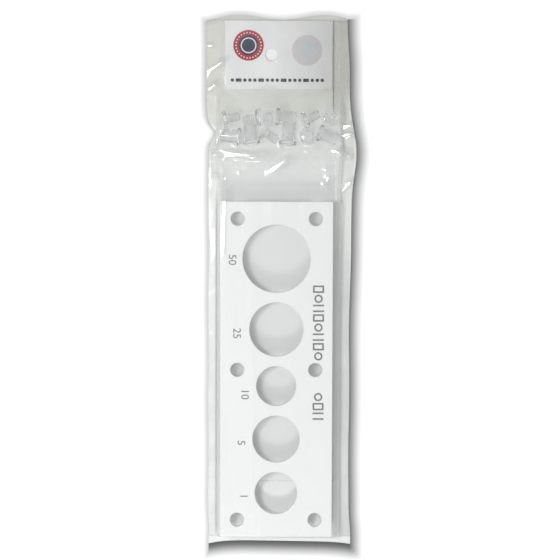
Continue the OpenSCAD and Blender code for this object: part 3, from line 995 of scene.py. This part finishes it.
LEFT_FOOT, RIGHT_FOOT = 1.75, 1.3
INNER, WALL_L, WALL_R, STRIP = 121, 6, 9, 10
SEAL_ROWS, FOOT_ROWS, FILM_ROWS = 4, 6, 312
BESIDE_PLATE, BELOW_PLATE = 2.6, 0.35

pile = np.array([v.co for obj in (posts, screws) for v in obj.data.vertices]) / MM
pile_lo, pile_hi = pile.min(0), pile.max(0)


def left_shoulder(y):
    """Where the film starts to fall on the left of the contents."""
    beside = plate_lo[0] - SHOULDER
    return beside + (min(beside, pile_lo[0] - SHOULDER) - beside) * ease(y, plate_hi[1], Y_PILE)


def right_shoulder(y):
    """Where the film starts to fall on the right of the contents."""
    beside = plate_hi[0] + (cover_hi[0] - plate_hi[0]) * ease(y, plate_hi[1] - 30, plate_hi[1])
    return beside + SHOULDER + (max(cover_hi[0], pile_hi[0]) - cover_hi[0]) * ease(y, plate_hi[1], Y_PILE)


y_start = plate_lo[1] - SHOULDER
seal_lines, foot_lines = np.linspace(Y_SEAL, Y_FOOT, SEAL_ROWS), np.linspace(Y_FOOT, y_start, FOOT_ROWS)
lines = np.concatenate([seal_lines[:-1], foot_lines[:-1], np.linspace(y_start, Y_MOUTH, FILM_ROWS)])
sl, sr = left_shoulder(lines), right_shoulder(lines)
el, er = left_edge(lines), right_edge(lines)
fl = np.maximum(el + 0.3, sl - LEFT_FOOT)
fr = er - 0.6 * SIDE_ROOM
drawn_in = ease(lines, plate_hi[1] - 3, plate_hi[1] + 1) * ease(lines, Y_CARD, Y_PILE_END)
fr = fr + (sr + RIGHT_FOOT - fr) * drawn_in
inner_x = sl[:, None] + np.linspace(0, 1, INNER) * (sr - sl)[:, None]
inner_y = np.repeat(lines[:, None], INNER, 1)

# What lies under the film between its shoulders, and how the film comes to rest on it
under = np.full(inner_x.shape, FLANGE)
row_step = lines[-1] - lines[-2]
on_card = (inner_x > card_lo[0]) & (inner_x < card_hi[0]) & (inner_y > card_lo[1])
under[on_card] = np.maximum(under[on_card], card_hi[2] + CARD_CLEAR)
for lo, hi in ((under_lo, under_hi), (cover_lo, cover_hi), (plate_lo, plate_hi)):
    on_x = (inner_x > lo[0] - BESIDE_PLATE) & (inner_x < hi[0] + BESIDE_PLATE)
    on = on_x & (inner_y > lo[1] - BELOW_PLATE) & (inner_y < hi[1] + row_step)
    under[on] = np.maximum(under[on], hi[2] + CLEAR)
last_row, last_col = len(lines) - 1, INNER - 1
rows_at = np.clip(np.searchsorted(lines, pile[:, 1]), 0, last_row)
cols_at = np.round((pile[:, 0] - sl[rows_at]) / (sr - sl)[rows_at] * last_col).astype(int)
cols_at = np.clip(cols_at, 0, last_col)
for dr in (-1, 0, 1):
    for dc in (-1, 0, 1):
        at = (np.clip(rows_at + dr, 0, last_row), np.clip(cols_at + dc, 0, last_col))
        np.maximum.at(under, at, pile[:, 2] + PILE_CLEAR)
sag = np.where(lines < plate_hi[1], TIGHT_SAG, LOOSE_SAG)[:, None]
rest = under.copy()
for _ in range(SETTLE_STEPS):
    wide = np.pad(rest, 1, mode="edge")
    level = (wide[:-2, 1:-1] + wide[2:, 1:-1] + wide[1:-1, :-2] + wide[1:-1, 2:]) / 4
    rest = np.maximum(under, level - sag)
    rest[lines <= Y_FOOT] = FLANGE
clings = np.exp(-(((rest - under) / CLING) ** 2)) * (lines > plate_lo[1])[:, None]
clings[on_card] = 0

# Pulled folds: (start, end, half width, height, bow), with their places in millimetres
FOLDS = (
    ((-31.0, 57.6), (-13.0, 57.0), 1.5, 0.55, 0.4),
    ((-6.6, 48.6), (2.6, 56.0), 1.2, 0.6, 0.3),
    ((-8.6, 58.4), (-7.8, 58.9), 0.6, 0.35, 0.0),
    ((19.0, 52.0), (20.6, 46.6), 0.8, 0.45, 0.5),
    ((20.6, 46.6), (18.6, 43.0), 0.8, 0.4, -0.4),
    ((18.6, 43.0), (20.6, 39.4), 0.8, 0.4, 0.4),
    ((24.0, 59.6), (29.0, 56.4), 0.9, 0.6, 0.2),
    ((23.6, 36.4), (31.6, 46.4), 0.9, 0.8, 0.6),
    ((-30.6, 47.6), (-26.0, 44.0), 0.8, 0.6, 0.8),
    ((-32.6, 50.5), (-31.0, 41.0), 0.7, 0.5, 0.2),
    ((-30.0, 61.8), (-26.4, 68.4), 0.8, 0.7, 0.0),
    ((24.4, 65.6), (31.4, 68.0), 0.8, 0.7, -0.6),
    ((27.0, 69.0), (31.4, 71.6), 0.7, 0.6, 0.4),
    ((-33.6, 94.6), (-26.4, 100.2), 1.2, 0.6, 0.3),
    ((-33.6, 106.2), (-31.0, 106.8), 0.8, 0.45, 0.0),
    ((-33.4, 86.0), (-29.4, 88.8), 1.2, 0.5, 0.3),
    ((-2.6, 101.2), (2.6, 96.8), 1.1, 0.35, 0.2),
    ((-20.0, 80.5), (14.0, 82.0), 1.6, 0.3, 0.8),
    ((-27.0, 83.6), (23.0, 85.4), 1.2, 0.22, -0.6),
)
RIPPLES, RIPPLE_RISE, DEEPEST_DIP, PLATE_TIGHT = 9, 0.018, -0.02, 0.9


def fold_rise(x, y):
    """How far the pulled folds and the slow ripples of slack film stand out at x and y."""
    rise = np.zeros_like(x)
    for (x0, y0), (x1, y1), half_width, height, bow in FOLDS:
        dx, dy = x1 - x0, y1 - y0
        long = math.hypot(dx, dy)
        t = ((x - x0) * dx + (y - y0) * dy) / long**2
        off = ((y - y0) * dx - (x - x0) * dy) / long - bow * np.sin(np.pi * np.clip(t, 0, 1))
        fade = np.clip(np.minimum(t + 0.1, 1.1 - t) * 4, 0, 1)
        rise += height * fade * fade * (3 - 2 * fade) * np.exp(-((off / half_width) ** 2))
    dice = np.random.default_rng(11)
    for _ in range(RIPPLES):
        angle, long, start = dice.uniform(0, np.pi), dice.uniform(5, 14), dice.uniform(0, 6.28)
        rise += RIPPLE_RISE * np.sin(2 * np.pi * (x * math.cos(angle) + y * math.sin(angle)) / long + start)
    return rise


# Flat facets in the stretched film that catch the left lamp: (x, y, turn, half length, half width)
FACETS = (
    (-20.8, 57.3, -2, 8.5, 1.4), (-8.5, 58.0, 0, 0.8, 0.7), (-1.5, 52.2, 37, 4.4, 1.3),
    (20.0, 50.6, 90, 0.6, 0.5), (20.9, 46.5, 70, 1.4, 0.7), (19.5, 43.2, -60, 1.6, 0.5),
    (26.1, 58.1, -28, 2.6, 0.8), (30.0, 57.2, -15, 1.6, 0.9), (29.8, 43.2, 47, 3.0, 0.9),
    (-30.2, 57.0, -10, 2.2, 0.9), (-28.2, 47.0, -28, 2.2, 0.8), (-19.3, 49.2, -40, 0.8, 0.5),
    (-25.7, 27.0, 90, 9.5, 0.7), (-32.4, 106.6, 5, 1.4, 0.9), (-29.8, 97.2, 35, 4.4, 0.9),
    (-31.5, 88.0, 35, 2.4, 1.1), (29.7, 66.4, 8, 2.2, 0.9), (29.8, 70.2, 19, 2.0, 0.9),
    (-28.6, 65.1, 60, 3.4, 0.9), (-32.6, 47.0, 84, 4.5, 0.7),
)
FACET_REACH, SOFT_EDGE, FIRM_EDGE = 1.5, 4, 8

# The crease in the pulled film beside the heap, painted as a highlight line: both ends, half width and
# strength
CREASE_START, CREASE_END = np.array([-26.7, 68.8]), np.array([-30.3, 61.0])
CREASE_WIDE, CREASE_HIGHLIGHT = 0.6, 2.0


def facet_tilt(x, y, z):
    """The slope, along x and y, that shows the left lamp to the camera from a spot in millimetres."""
    spot = Vector((x, y, z)) * MM
    facing = (Vector(LEFT_LAMP) - spot).normalized() + (camera.matrix_world.translation - spot).normalized()
    return -facing.x / facing.z, -facing.y / facing.z


def wall(inner, outer, height, foot, count, bend):
    """The film from the shoulder down to its foot beside the contents, as (x, height) per line."""
    t = np.linspace(1, 0, count + 1)[1:]
    x = outer[:, None] + t * (inner - outer)[:, None]
    return x, foot[:, None] + (height - foot)[:, None] * t**bend


above_seal = ease(lines, Y_SEAL, plate_lo[1] + 4)
by_plate = 1 - ease(lines, plate_hi[1] - 6, plate_hi[1] + 8)
foot_l = FLANGE + (LEFT_RISE + 0.15 * np.sin(lines / 8.3)) * above_seal * by_plate
foot_r = FLANGE + (RIGHT_RISE + 0.10 * np.sin(lines / 6.1 + 1)) * above_seal
lx, lz = wall(sl, fl, np.maximum(rest[:, 0], foot_l), foot_l, WALL_L, 1.5)
rx, rz = wall(sr, fr, np.maximum(rest[:, -1], foot_r), foot_r, WALL_R, 1.35)
t = np.linspace(0, 1, STRIP)
sx_l, sx_r = el[:, None] + t[:-1] * (fl - el)[:, None], fr[:, None] + t[1:] * (er - fr)[:, None]
flange_l = HEM_LOW + (foot_l - HEM_LOW)[:, None] * t[:-1] ** 0.55
hem = HEM_HIGH * np.clip((t[1:] - 0.75) / 0.25, 0, 1) ** 2
flange_r = foot_r[:, None] + (HEM_LOW - foot_r)[:, None] * t[1:] ** 1.2 + hem * above_seal[:, None]
grid_x = np.hstack([sx_l, lx[:, ::-1], inner_x, rx, sx_r])
grid_z = np.hstack([flange_l, lz[:, ::-1], np.maximum(rest, np.minimum(foot_l, 0.7)[:, None]), rz, flange_r])
grid_y = np.repeat(lines[:, None], grid_x.shape[1], 1)
low = bottom_edge(grid_x)
near_seal = np.clip((Y_FOOT - grid_y) / SEAL, 0, 1)
grid_y = grid_y * (1 - near_seal) + (low + (grid_y - Y_SEAL) * (1 - near_seal)) * near_seal
sides = ((0, 0), (STRIP - 1 + WALL_L, WALL_R + STRIP - 1))
on_plate = ease(grid_y, plate_hi[1] + 3, plate_hi[1] - 1) * np.pad(np.ones(rest.shape), sides)
loose = (1 - PLATE_TIGHT * on_plate) * ease(grid_y, Y_SEAL, plate_lo[1] + 2)
grid_z = grid_z + np.maximum(fold_rise(grid_x, grid_y), DEEPEST_DIP) * loose
# Each facet and the crease are marked as gleams, which add haze and gloss: a painted highlight over the
# facets' real tilt.
gleams = np.zeros(grid_z.shape)
for x, y, turn, long, wide in FACETS:
    c, d = math.cos(math.radians(turn)), math.sin(math.radians(turn))
    u, v = (grid_x - x) * c + (grid_y - y) * d, (grid_y - y) * c - (grid_x - x) * d
    edge = FIRM_EDGE if x > cover_hi[0] + 2 else SOFT_EDGE
    held = np.exp(-((u / long / FACET_REACH) ** edge) - (v / wide / FACET_REACH) ** edge)
    z = grid_z.ravel()[np.argmin((grid_x - x) ** 2 + (grid_y - y) ** 2)]
    slope_x, slope_y = facet_tilt(x, y, z)
    lift = abs(slope_y * c - slope_x * d) * wide + abs(slope_x * c + slope_y * d) * min(long, 3)
    tilted = z + lift + slope_x * (grid_x - x) + slope_y * (grid_y - y)
    grid_z = grid_z + held * (tilted - grid_z)
    gleams = np.maximum(gleams, held)
run = CREASE_END - CREASE_START
off_x, off_y = grid_x - CREASE_START[0], grid_y - CREASE_START[1]
t = np.clip((off_x * run[0] + off_y * run[1]) / (run @ run), 0, 1)
off = np.hypot(off_x - t * run[0], off_y - t * run[1])
gleams = np.maximum(gleams, CREASE_HIGHLIGHT * np.exp(-((off / CREASE_WIDE) ** 2)))
# Painted shade in the crease where the left flange meets the wall beside the plate.
painted_crease_shade = np.zeros(grid_z.shape)
painted_crease_shade[:, STRIP - 2 : STRIP + 1] = np.outer(by_plate * above_seal, (0.4, 1.0, 0.4))
mesh, used = sheet_mesh("bag_front_film", np.stack([grid_x, grid_y, grid_z], -1), HANG)
for label, values in (("clings", np.pad(clings, sides)), ("gleams", gleams), ("painted_crease_shade", painted_crease_shade)):
    carry(mesh, label, values.ravel()[used])
bag_front = thicken(piece("bag_front_film", mesh, front_film), FILM)
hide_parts("bag_front")
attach(bag_front, "bag")
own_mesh(bag_front)
